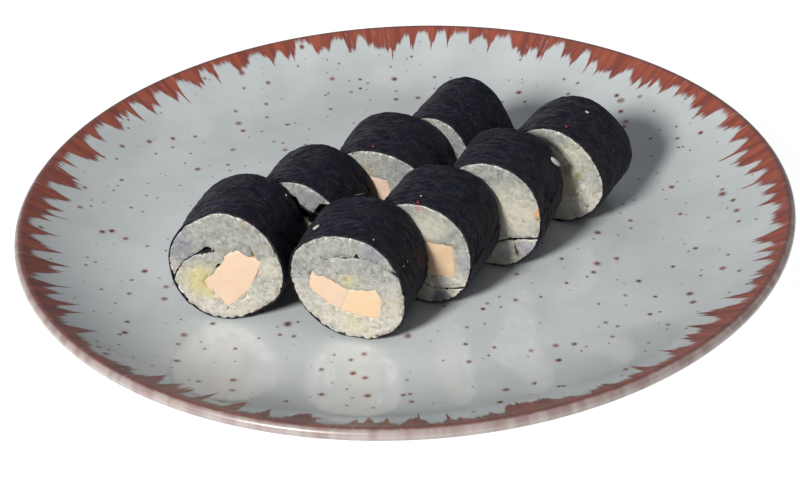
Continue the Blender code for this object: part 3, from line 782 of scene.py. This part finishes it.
def plate_profile():
    """Half section of the plate, from its floor over the lip to the underside's middle."""
    slope = radians(RIM_SLOPE)
    lip = RIM_THICKNESS / 2
    floor = [(radius, FLOOR_TOP) for radius in range(8, int(FLOOR_RADIUS), 8)]
    well = []
    under = []
    for step in range(WELL_STEPS + 1):
        along = step / WELL_STEPS
        lean = slope * along
        radius = FLOOR_RADIUS + WELL_ARC * sin(lean)
        height = FLOOR_TOP + WELL_ARC * (1 - cos(lean))
        thickness = FLOOR_THICKNESS + (RIM_THICKNESS - FLOOR_THICKNESS) * along
        well.append((radius, height))
        under.append((radius + thickness * sin(lean), height - thickness * cos(lean)))
    well_radius, well_height = well[-1]
    lip_radius = PLATE_RADIUS - lip
    run = lip_radius - lip * sin(slope) - well_radius
    lip_height = well_height + run * tan(slope) - lip * cos(slope)
    rim = [(well_radius + run * s / 8, well_height + run * tan(slope) * s / 8) for s in range(1, 8)]
    around = []
    for step in range(LIP_STEPS + 1):
        angle = slope + pi / 2 - pi * step / LIP_STEPS
        around.append((lip_radius + lip * cos(angle), lip_height + lip * sin(angle)))
    underside = FLOOR_TOP - FLOOR_THICKNESS
    foot = [
        (FOOT_OUTER + 2.2 * FOOT_EDGE, underside),
        (FOOT_OUTER + 0.6 * FOOT_EDGE, underside - 0.5 * FOOT_EDGE),
        (FOOT_OUTER, FOOT_EDGE),
        (FOOT_OUTER - FOOT_EDGE, 0.0),
        (FOOT_INNER + FOOT_EDGE, 0.0),
        (FOOT_INNER, FOOT_EDGE),
        (FOOT_INNER - 0.6 * FOOT_EDGE, underside - 0.5 * FOOT_EDGE),
        (FOOT_INNER - 2.2 * FOOT_EDGE, underside),
    ]
    bottom = [(radius, underside) for radius in (56, 44, 32, 20, 8)]
    return floor + well + rim + around + under[::-1] + foot + bottom


def make_plate():
    profile = plate_profile()
    points = [(0, 0, profile[0][1])]
    for radius, height in profile:
        for step in range(PLATE_SEGMENTS):
            angle = 2 * pi * step / PLATE_SEGMENTS
            points.append((radius * cos(angle), radius * sin(angle), height))
    points.append((0, 0, profile[-1][1]))
    faces = numbered_on(grid_faces(len(profile), PLATE_SEGMENTS)[:, ::-1], 1)
    last = len(points) - 1
    for step in range(PLATE_SEGMENTS):
        after = (step + 1) % PLATE_SEGMENTS
        faces.append((0, 1 + step, 1 + after))
        faces.append((last, last - PLATE_SEGMENTS + after, last - PLATE_SEGMENTS + step))
    new_piece("glazed_plate", points, faces, glaze(), ["plate"])


def wrinkle(roll, arc, along):
    """How far the moist sheet lies below its smooth shape at a place round and along the roll."""
    seed = seed_of(roll)
    bend = 3.0 * wave(arc / 9, along / 9, seed + 5)
    bend += 0.7 * wave(arc / 2.5, along / 4, seed + 6)
    fold = wave(arc / 6.0, (along + bend) / 1.9, seed)
    fine = wave(arc / 2.8, (along + bend) / 0.9, seed + 3)
    strength = 0.6 + 0.8 * wave(arc / 8, along / 6, seed + 13)
    creases = (0.42 * max(0.0, 1 - 3 * abs(fold)) ** 1.5 + 0.16 * fine) * max(0.15, strength)
    grains = 0.24 * wave(arc / 3.2, along / 2.6, seed + 9)
    dents = 0.5 * wave(arc / 11, along / 9, seed + 17)
    most = EDGE_WRINKLE + 0.5 * max(0.0, min(along, roll.length - along) - EDGE_REACH)
    return min(max(0.0, 0.25 + creases + grains + dents), most)


def sheet_start(roll):
    """Which way round the sheet runs from its outer end, and the angle of that end."""
    way = -1 if roll.tail.sweep > 0 else 1
    return way, (roll.tail.seam + way * LAP_REACH) % 360 + way * LAP_EDGE / 2


def cut_outline(roll, along, inset, steps=150, uneven=0.0):
    """The wrinkled sheet's shape at a cut, moved inwards and notched where it is uneven."""
    way, first = sheet_start(roll)
    outline = []
    for step in range(steps):
        angle = 360 * step / steps
        arc = radians(first + way * ((angle - first) * way % 360)) * roll.radius
        notch = uneven * max(0.0, wave(arc / 1.7, along, seed_of(roll) + 21))
        outline.append(polar(angle, ring_radius(roll, angle) - inset - notch - wrinkle(roll, arc, along)))
    return outline


def make_sheet(roll, finish):
    """The ring of nori with its lap, and the tail inside it."""
    way, first = sheet_start(roll)
    angles = [first + way * (360 - LAP_EDGE) * step / (SHEET_COLUMNS - 1) for step in range(SHEET_COLUMNS)]
    length = roll.length
    outer = [length * step / (SHEET_ROWS - 1) for step in range(SHEET_ROWS)]
    outer[1:1] = [CUT_BEVEL]
    outer[-1:-1] = [length - CUT_BEVEL]
    rows = [(along, 0.0) for along in outer]
    rows[0] = (0.0, 0.13)
    rows[-1] = (length, 0.13)
    rows += [(length, NORI), (length - 3, NORI), (length / 2, NORI), (3.0, NORI), (0.0, NORI)]
    points = []
    for along, inset in rows:
        for angle in angles:
            arc = radians(angle) * roll.radius
            edge = 0.12 * abs(wave(arc / 1.5, seed_of(roll), 3))
            ragged = edge * max(0.0, 1 - min(along, length - along) / RAGGED_REACH)
            depth = wrinkle(roll, arc, along) + inset
            across, up = polar(angle, ring_radius(roll, angle) + lap_height(roll, angle) - depth)
            points.append((across, along + ragged if along < 1 else along - ragged, up))
    faces = list(grid_faces(len(rows), SHEET_COLUMNS, close_rows=True))
    if way < 0:
        faces = [face[::-1] for face in faces]

    section = strip_round(tail_line(roll), TAIL_HALF)
    near, far = CUT_BEVEL, length - CUT_BEVEL
    start = len(points)
    count = len(section)
    stations = (near, near + 0.2, far - 0.2, far)
    for along in stations:
        points += [(point.x, along, point.y) for point in section]
    turned = roll.tail.sweep < 0
    sides = grid_faces(len(stations), count) + start
    faces += list(sides if turned else sides[:, ::-1])
    half = count // 2
    for level, flip in ((0, turned), (len(stations) - 1, not turned)):
        base = start + level * count
        for step in range(half - 1):
            face = (base + step, base + step + 1, base + count - 2 - step, base + count - 1 - step)
            faces.append(face[::-1] if flip else face)
    roll_piece(roll, "sheet", points, faces, finish, "nori")


def make_stick(roll, name, corners, finish):
    """A filling stick with soft corners, whose cuts are slightly uneven."""
    soft = rounded(corners, STICK_CORNER)
    outline = stepped([*soft, soft[0]], 0.7)[:-1]
    middle = outline.mean(axis=0)
    seed = seed_of(roll) + len(name)
    levels = []
    cut_rings = (0.12, 0.35, 0.55, 0.75, 0.92, 1.0)
    for share in cut_rings:
        levels.append((0.0, share))
    levels += [(0.35, 1.015), (roll.length / 2, 1.0), (roll.length - 0.35, 1.015)]
    for share in cut_rings[::-1]:
        levels.append((roll.length, share))
    points = []
    for along, share in levels:
        for across, up in outline:
            bulge = 0.2 * wave(across / 2.5, up / 2.5, seed)
            where = middle + (np.array((across, up)) - middle) * share * (STICK_GROWTH + bulge * 0.12)
            uneven = STICK_UNEVEN * wave(where[0] / 3.5, where[1] / 3.5, seed + along)
            shift = uneven - STICK_PROUD + 0.9 * max(0.0, share - 0.9)
            if along == 0.0:
                depth = shift
            elif along == roll.length:
                depth = along - shift
            else:
                depth = along
            points.append((where[0], depth, where[1]))
    count = len(outline)
    faces = list(grid_faces(len(levels), count)[:, ::-1])
    for along in (0.0, roll.length):
        uneven = STICK_UNEVEN * wave(middle[0] / 3.5, middle[1] / 3.5, seed + along) - STICK_PROUD
        points.append((middle[0], uneven if along == 0.0 else along - uneven, middle[1]))
    last = len(points) - 1
    for step in range(count):
        after = (step + 1) % count
        faces.append((last - 1, step, after))
        base = (len(levels) - 1) * count
        faces.append((last, base + after, base + step))
    area = sum(a[0] * b[1] - b[0] * a[1] for a, b in zip(outline, np.roll(outline, -1, axis=0)))
    if area > 0:
        faces = [tuple(face)[::-1] for face in faces]
    roll_piece(roll, f"{name}_stick", points, faces, finish, name)


# Grains.


def grain_form():
    """Points and faces of a grain of cooked rice of half length 1: plump, blunt at one end."""
    points = [(-1.0, 0.0, 0.0)]
    for ring in range(1, GRAIN_RINGS):
        lean = pi * ring / GRAIN_RINGS
        along = -cos(lean)
        thick = sin(lean) ** 0.8 * (1 - 0.08 * along)
        for side in range(GRAIN_SIDES):
            angle = 2 * pi * (side + 0.5 * (ring % 2)) / GRAIN_SIDES
            points.append((along, thick * cos(angle), thick * sin(angle)))
    points.append((1.0, 0.0, 0.0))
    faces = []
    for side in range(GRAIN_SIDES):
        after = (side + 1) % GRAIN_SIDES
        faces.append((0, 1 + after, 1 + side))
        for ring in range(GRAIN_RINGS - 2):
            base = 1 + ring * GRAIN_SIDES
            upper = base + GRAIN_SIDES
            faces.append((base + side, base + after, upper + after, upper + side))
        base = 1 + (GRAIN_RINGS - 2) * GRAIN_SIDES
        faces.append((base + side, base + after, len(points) - 1))
    return np.array(points), faces


def inside(points, outline):
    """Which points lie inside a closed outline."""
    outline = array_of(outline)
    x, y = points[:, :1], points[:, 1:]
    x0, y0 = outline[:, 0], outline[:, 1]
    x1, y1 = np.roll(x0, -1), np.roll(y0, -1)
    spans = (y0 > y) != (y1 > y)
    rise = np.where(y1 == y0, 1e-9, y1 - y0)
    crossing = x0 + (y - y0) * (x1 - x0) / rise
    return (spans & (x < crossing)).sum(axis=1) % 2 == 1


def distance_to(points, line):
    """Distance of each point from a line of straight stretches."""
    line = array_of(line)
    starts, runs = line[:-1], np.diff(line, axis=0)
    offset = points[:, None, :] - starts
    share = np.clip((offset * runs).sum(-1) / np.maximum((runs**2).sum(-1), 1e-9), 0, 1)
    return np.linalg.norm(offset - share[..., None] * runs, axis=-1).min(axis=1)


@dataclass
class Walls:
    """What keeps a roll's grains in: straight stretches, each with the gap that grains keep to it."""

    starts: list = field(default_factory=list)
    ends: list = field(default_factory=list)
    gaps: list = field(default_factory=list)

    def add(self, line, gap, closed=True):
        """Adds a line. Its gap is one number, or one for each of its points."""
        line = [tuple(point) for point in line]
        after = line[1:] + line[:1] if closed else line[1:]
        for step, (start, end) in enumerate(zip(line, after)):
            self.starts.append(start)
            self.ends.append(end)
            self.gaps.append(gap[step] if isinstance(gap, list) else gap)

    def drawn_in(self, middle, points):
        """Points drawn back towards a grain's middle until they keep their gaps to the walls."""
        starts = np.array(self.starts) - middle
        runs = np.array(self.ends) - np.array(self.starts)
        rays = points - middle
        reach = np.maximum(np.linalg.norm(rays, axis=1), 1e-6)
        turn = rays[:, :1] * runs[:, 1] - rays[:, 1:] * runs[:, 0]
        turn = np.where(np.abs(turn) < 1e-9, 1e-9, turn)
        met = (starts[:, 0] * runs[:, 1] - starts[:, 1] * runs[:, 0]) / turn
        share = (starts[:, 0] * rays[:, 1:] - starts[:, 1] * rays[:, :1]) / turn
        blocked = (met > 0) & (share >= 0) & (share <= 1)
        limit = np.where(blocked, met - np.array(self.gaps) / reach[:, None], np.inf).min(axis=1)
        return middle + rays * np.clip(limit, 0.05, 1.0)[:, None]


def tail_gaps(roll):
    """Half width of the dark line that the rice leaves over the tail: below 0 it closes and hides it."""
    line = tail_line(roll)
    gaps = []
    for step in range(len(line)):
        along = step / (len(line) - 1)
        uneven = wave(along * 7, seed_of(roll), 4)
        gaps.append(roll.opening + roll.uneven * uneven + roll.mouth * max(0.0, 1 - along * 5))
    return gaps


def grooves(roll):
    """What opens the film over a cut: (line, half widths, depth) of the tail and of each crack."""
    found = [(tail_line(roll), tail_gaps(roll), TAIL_GROOVE)]
    for half, corners in roll.cracks:
        line = [Vector(point) for point in stepped(corners, 0.4)]
        halves = [half * sin(pi * (step + 0.3) / (len(line) - 0.4)) ** 0.5 for step in range(len(line))]
        found.append((line, halves, min(CRACK_DEPTH, 5 * half)))
    return found


def roll_walls(roll, along):
    """What the grains at a cut keep clear of."""
    walls = Walls()
    walls.add(cut_outline(roll, along, NORI), 0.0)
    walls.add(tail_line(roll), tail_gaps(roll), closed=False)
    for corners in roll.sticks.values():
        walls.add(rounded(corners, STICK_CORNER), -0.15)
    for hollow in roll.hollows:
        walls.add(hollow, -0.05)
    for line, halves, _ in grooves(roll)[1:]:
        walls.add(line, halves, closed=False)
    return walls


def grain_middles(roll, random):
    """Evenly spread middles of the grains at a cut, clear of sheet, fillings and hollows."""
    reach = roll.radius + 3
    room = random.uniform(-reach, reach, (ROOM_SAMPLES, 2))
    room = room[inside(room, cut_outline(roll, 0.0, NORI + 0.5))]
    room = room[distance_to(room, tail_line(roll)) > 0.6]
    for corners in roll.sticks.values():
        room = room[~inside(room, corners)]
        room = room[distance_to(room, [*corners, corners[0]]) > 0.45]
    for hollow in roll.hollows:
        room = room[~inside(room, hollow)]
    for half, line in roll.cracks:
        room = room[distance_to(room, line) > half + 0.5]
    area = len(room) / ROOM_SAMPLES * (2 * reach) ** 2
    count = round(area / GRAIN_ROOM)
    middles = room[:count].copy()
    for _ in range(8):
        nearest = ((room[:, None, :] - middles) ** 2).sum(-1).argmin(axis=1)
        for number in range(count):
            own = room[nearest == number]
            if len(own):
                middles[number] = own.mean(axis=0)
    return middles + random.normal(0, 0.18, middles.shape)


def cut_grains(roll, form, walls, random):
    """The grains at one cut, at y 0 with the roll behind it: whole grains pressed flat by the cut."""
    grains = []
    for middle in grain_middles(roll, random):
        size = np.array((random.uniform(2.3, 3.1), random.uniform(1.55, 1.9), random.uniform(1.45, 1.75)))
        swing = Matrix.Rotation(random.uniform(0, 2 * pi), 3, "Y")
        tilt = Matrix.Rotation(random.normal(0, 0.5), 3, "Z")
        twist = Matrix.Rotation(random.uniform(0, 2 * pi), 3, "X")
        points = (form * size) @ np.array(swing @ tilt @ twist).T
        points[:, 1] += random.uniform(-0.3, 0.5) if random.random() < 0.93 else random.uniform(0.5, 0.8)
        lean = random.normal(0, 0.035, 2)
        knife = -random.normal(0.06, 0.04) + points[:, 0] * lean[0] + points[:, 2] * lean[1]
        over = np.maximum(knife - points[:, 1], 0)
        bulge = random.uniform(0.16, 0.36)
        points[:, 1] = np.where(over > 0, knife - bulge * over / max(over.max(), 0.5), points[:, 1])
        flat = walls.drawn_in(middle, points[:, (0, 2)] + middle)
        grains.append(np.column_stack([flat[:, 0], points[:, 1], flat[:, 1]]))
    return grains


def smeared_heights(roll, grains, form_faces):
    """Grid over a cut of where its grains' surface lies, smeared as starch fills their creases."""
    points = [tuple(point) for grain in grains for point in grain]
    faces = []
    for number in range(len(grains)):
        faces += numbered_on(form_faces, number * len(grains[0]))
    tree = BVHTree.FromPolygons(points, faces)
    reach = roll.radius + 4
    axis = np.arange(round(2 * reach / FILM_GRID) + 1) * FILM_GRID - reach
    heights = np.full((len(axis), len(axis)), 0.2)
    for row, up in enumerate(axis):
        for column, across in enumerate(axis):
            if across**2 + up**2 < (roll.radius + 2.5) ** 2:
                met = tree.ray_cast(Vector((across, -3, up)), Vector((0, 1, 0)), 3.2)
                heights[row, column] = 0.2 if met[0] is None else met[0].y
    spread = np.exp(-0.5 * (np.arange(-3, 4) / FILM_SMEAR) ** 2)
    spread /= spread.sum()
    for side in (0, 1):
        heights = np.apply_along_axis(np.convolve, side, heights, spread, "same")
    return axis, heights


def height_at(axis, heights, places):
    """Heights between the points of a grid."""
    at = (places - axis[0]) / FILM_GRID
    low = np.clip(np.floor(at).astype(int), 0, len(axis) - 2)
    right, over = (at - low).T
    column, row = low.T
    lower = heights[row, column] * (1 - right) + heights[row, column + 1] * right
    upper = heights[row + 1, column] * (1 - right) + heights[row + 1, column + 1] * right
    return lower * (1 - over) + upper * over


def make_film(roll, outline, grains, form_faces):
    """Starch smeared over a cut at y 0. It fills the creases and opens in holes and grooves."""
    axis, heights = smeared_heights(roll, grains, form_faces)
    cut = [Vector(point) for point in outline]
    rims = [(step, (step + 1) % len(cut)) for step in range(len(cut))]
    for hollow in roll.hollows:
        first = len(cut)
        cut += [Vector(point) for point in hollow]
        rims += [(first + step, first + (step + 1) % len(hollow)) for step in range(len(hollow))]
    across, up = np.meshgrid(axis, axis)
    grid = np.column_stack([across.ravel(), up.ravel()])
    grid = grid[inside(grid, outline)]
    grid = grid[distance_to(grid, [*outline, outline[0]]) > 0.3]
    for line, halves, _ in grooves(roll):
        grid = grid[distance_to(grid, line) > max(halves) + GROOVE_BANK + 0.2]
        open_halves = [max(half, 0.0) for half in halves]
        banks = [half + GROOVE_BANK for half in open_halves]
        for side in (1, -1):
            cut += side_points(line, open_halves, side) + side_points(line, banks, side)
        cut += line
    cut += [Vector(point) for point in grid]
    flat, _, triangles, *_ = geometry.delaunay_2d_cdt(cut, rims, [list(range(len(outline)))], 1, 1e-4)
    places = array_of(flat)
    depths = height_at(axis, heights, places) + FILM_SINK
    for middle, reach in roll.loose:
        away = np.linalg.norm(places - middle, axis=1)
        depths += LOOSE_FALL * np.clip(1.4 - 1.4 * away / reach, 0, 1)
    round_it = [*outline, outline[0]]
    depths += FILM_FALL * np.clip(1 - distance_to(places, round_it) / FILM_EDGE, 0, 1) ** 2
    for line, halves, groove in grooves(roll):
        nearest = np.linalg.norm(places[:, None] - array_of(line), axis=2).argmin(axis=1)
        half = np.array(halves)[nearest]
        sunk = (distance_to(places, line) < half + 0.5 * GROOVE_BANK) & (half > 0.03)
        depths = np.where(sunk, groove, depths)
    middles = np.array([places[list(face)].mean(axis=0) for face in triangles])
    hollow = np.zeros(len(triangles), bool)
    for hole in roll.hollows:
        hollow |= inside(middles, hole)

    points = [(across, depth, up) for (across, up), depth in zip(places, depths)]
    faces = [tuple(face) for face, sunk in zip(triangles, hollow) if not sunk]
    first = len(points)
    points += [(across, HOLLOW_DEPTH, up) for across, up in places]
    faces += numbered_on([face for face, sunk in zip(triangles, hollow) if sunk], first)
    flanks = set()
    for face, sunk in zip(triangles, hollow):
        if sunk:
            flanks ^= {frozenset(pair) for pair in zip(face, face[1:] + face[:1])}
    for pair in flanks:
        start, end = pair
        faces.append((start, end, end + first, start + first))
    rim_depths = height_at(axis, heights, np.array(outline)) + FILM_SINK + FILM_FALL
    return np.array(points), faces, rim_depths


def make_rice(roll, form, form_faces):
    """Grains at both cuts, set in one body of rice whose cuts are smeared with starch."""
    random = np.random.default_rng(seed_of(roll))
    points = []
    faces = []
    rings = []
    for back in (False, True):
        cut = roll.length if back else 0.0
        outline = cut_outline(roll, cut, NORI + 0.02, 160, 0.8)
        grains = cut_grains(roll, form, roll_walls(roll, cut), random)
        film, film_faces, rim_depths = make_film(roll, outline, grains, form_faces)
        for part, part_faces in [(film, film_faces)] + [(grain, form_faces) for grain in grains]:
            start = len(points)
            part = np.array(part)
            if back:
                part[:, 1] = roll.length - part[:, 1]
            faces += numbered_on([face[::-1] for face in part_faces] if back else part_faces, start)
            points += part.tolist()
        ring = [(across, abs(cut - depth), up) for (across, up), depth in zip(outline, rim_depths)]
        deeper = abs(cut - SKIRT_DEPTH)
        drawn_in = cut_outline(roll, cut, NORI + SKIRT_INSET, 160)
        rings.append([ring, [(across, deeper, up) for across, up in drawn_in]])
    start = len(points)
    (front, front_deep), (back, back_deep) = rings
    for ring in (front, front_deep, back_deep, back):
        points += ring
    faces += numbered_on(grid_faces(4, len(front))[:, ::-1], start)
    roll_piece(roll, "grains", points, faces, cooked_rice(roll), "rice")


def make_crumbs(kind, form, form_faces, finish):
    """The grains or crumbs of one kind that stuck to the outside of the sheets."""
    points = []
    faces = []
    for roll in ROLLS:
        for own_kind, angle, along, turn, half_length, half_width in roll.crumbs:
            if own_kind != kind:
                continue
            out = np.array((*polar(angle, 1.0), 0.0))[[0, 2, 1]]
            round_way = np.array((*polar(angle + 90, 1.0), 0.0))[[0, 2, 1]]
            run, rise = polar(turn, 1.0)
            lengthways = run * round_way + rise * np.array((0.0, 1.0, 0.0))
            sideways = np.cross(out, lengthways)
            axes = np.array((lengthways * half_length, sideways * half_width, out * half_width * 0.8))
            lift = ring_radius(roll, angle) + 0.35 * half_width - 0.25
            middle = out * lift + np.array((0.0, along, 0.0))
            own = spread_out(roll, form @ axes + middle)
            faces += numbered_on(form_faces, len(points))
            points += [tuple(roll_place(roll) @ Vector(point * MM) / MM) for point in own]
    new_piece(f"{kind}_crumbs", points, faces, finish)


# Studio.


def make_floor():
    paint = Finish("white_floor")
    finish = paint.surface(
        Base_Color=(0.2, 0.2, 0.2, 1),
        Roughness=0.9,
        Emission_Color=(1.0, 1.0, 1.0, 1),
        Emission_Strength=0.92,
    )
    mesh = bpy.data.meshes.new("floor")
    reach = 3.0
    corners = [(-reach, -reach, 0), (reach, -reach, 0), (reach, reach, 0), (-reach, reach, 0)]
    mesh.from_pydata(corners, [], [(0, 1, 2, 3)])
    mesh.materials.append(finish)
    floor = bpy.data.objects.new("floor", mesh)
    bpy.context.scene.collection.objects.link(floor)


def make_light(name, azimuth, height, distance, size, power, tint):
    """An area light aimed at the rolls. Its azimuth runs from the front towards the left."""
    lamp = bpy.data.lights.new(name, "AREA")
    lamp.shape = "DISK"
    lamp.size = size
    lamp.energy = power
    lamp.color = tint
    light = bpy.data.objects.new(name, lamp)
    level = cos(radians(height))
    way = Vector((-sin(radians(azimuth)) * level, -cos(radians(azimuth)) * level, sin(radians(height))))
    light.location = way * distance
    light.rotation_euler = way.to_track_quat("Z", "Y").to_euler()
    bpy.context.scene.collection.objects.link(light)


def make_studio():
    make_floor()
    make_light("key", azimuth=34, height=31.5, distance=1.3, size=0.26, power=25.2, tint=(1.0, 0.98, 0.95))
    world = bpy.data.worlds.new("room")
    world.use_nodes = True
    background = world.node_tree.nodes["Background"]
    background.inputs["Color"].default_value = (0.92, 0.935, 1.0, 1)
    background.inputs["Strength"].default_value = 0.29
    bpy.context.scene.world = world
    bpy.context.scene.view_settings.view_transform = "Standard"


CAMERA_TARGET = Vector((-1.99, -11.60, 0)) * MM
CAMERA_DISTANCE = 0.46712
CAMERA_HEIGHT = 33.365  # degrees over the level
CAMERA_ROLL = -3.004


def make_camera():
    lens = bpy.data.cameras.new("camera")
    lens.sensor_width = 36
    lens.lens = 58.5
    lens.clip_start = 0.01
    camera = bpy.data.objects.new("camera", lens)
    lean = radians(CAMERA_HEIGHT)
    spot = CAMERA_TARGET + Vector((0, -cos(lean), sin(lean))) * CAMERA_DISTANCE
    turn = Matrix.Rotation(pi / 2 - lean, 4, "X") @ Matrix.Rotation(radians(CAMERA_ROLL), 4, "Z")
    camera.matrix_world = Matrix.Translation(spot) @ turn
    bpy.context.scene.collection.objects.link(camera)
    bpy.context.scene.camera = camera


def main():
    make_camera()
    make_studio()
    make_plate()
    nori = seaweed()
    fillings = {
        "salmon": filling("salmon", (0.57, 0.41, 0.29), (0.555, 0.42, 0.315)),
        "radish": filling("radish", (0.585, 0.42, 0.255), (0.565, 0.43, 0.295)),
    }
    form, form_faces = grain_form()
    for roll in ROLLS:
        make_sheet(roll, nori)
        for name, corners in roll.sticks.items():
            own = fillings[name]
            if name in roll.tones:
                own = filling(f"{roll.name}_{name}", *roll.tones[name])
            make_stick(roll, name, corners, own)
        make_rice(roll, form, form_faces)
    stuck = filling("stuck_rice", (0.30, 0.29, 0.29), (0.38, 0.36, 0.35))
    make_crumbs("pale", form, form_faces, stuck)
    red = filling("red_crumb", (0.15, 0.012, 0.03), (0.11, 0.01, 0.025))
    make_crumbs("red", form, form_faces, red)


main()
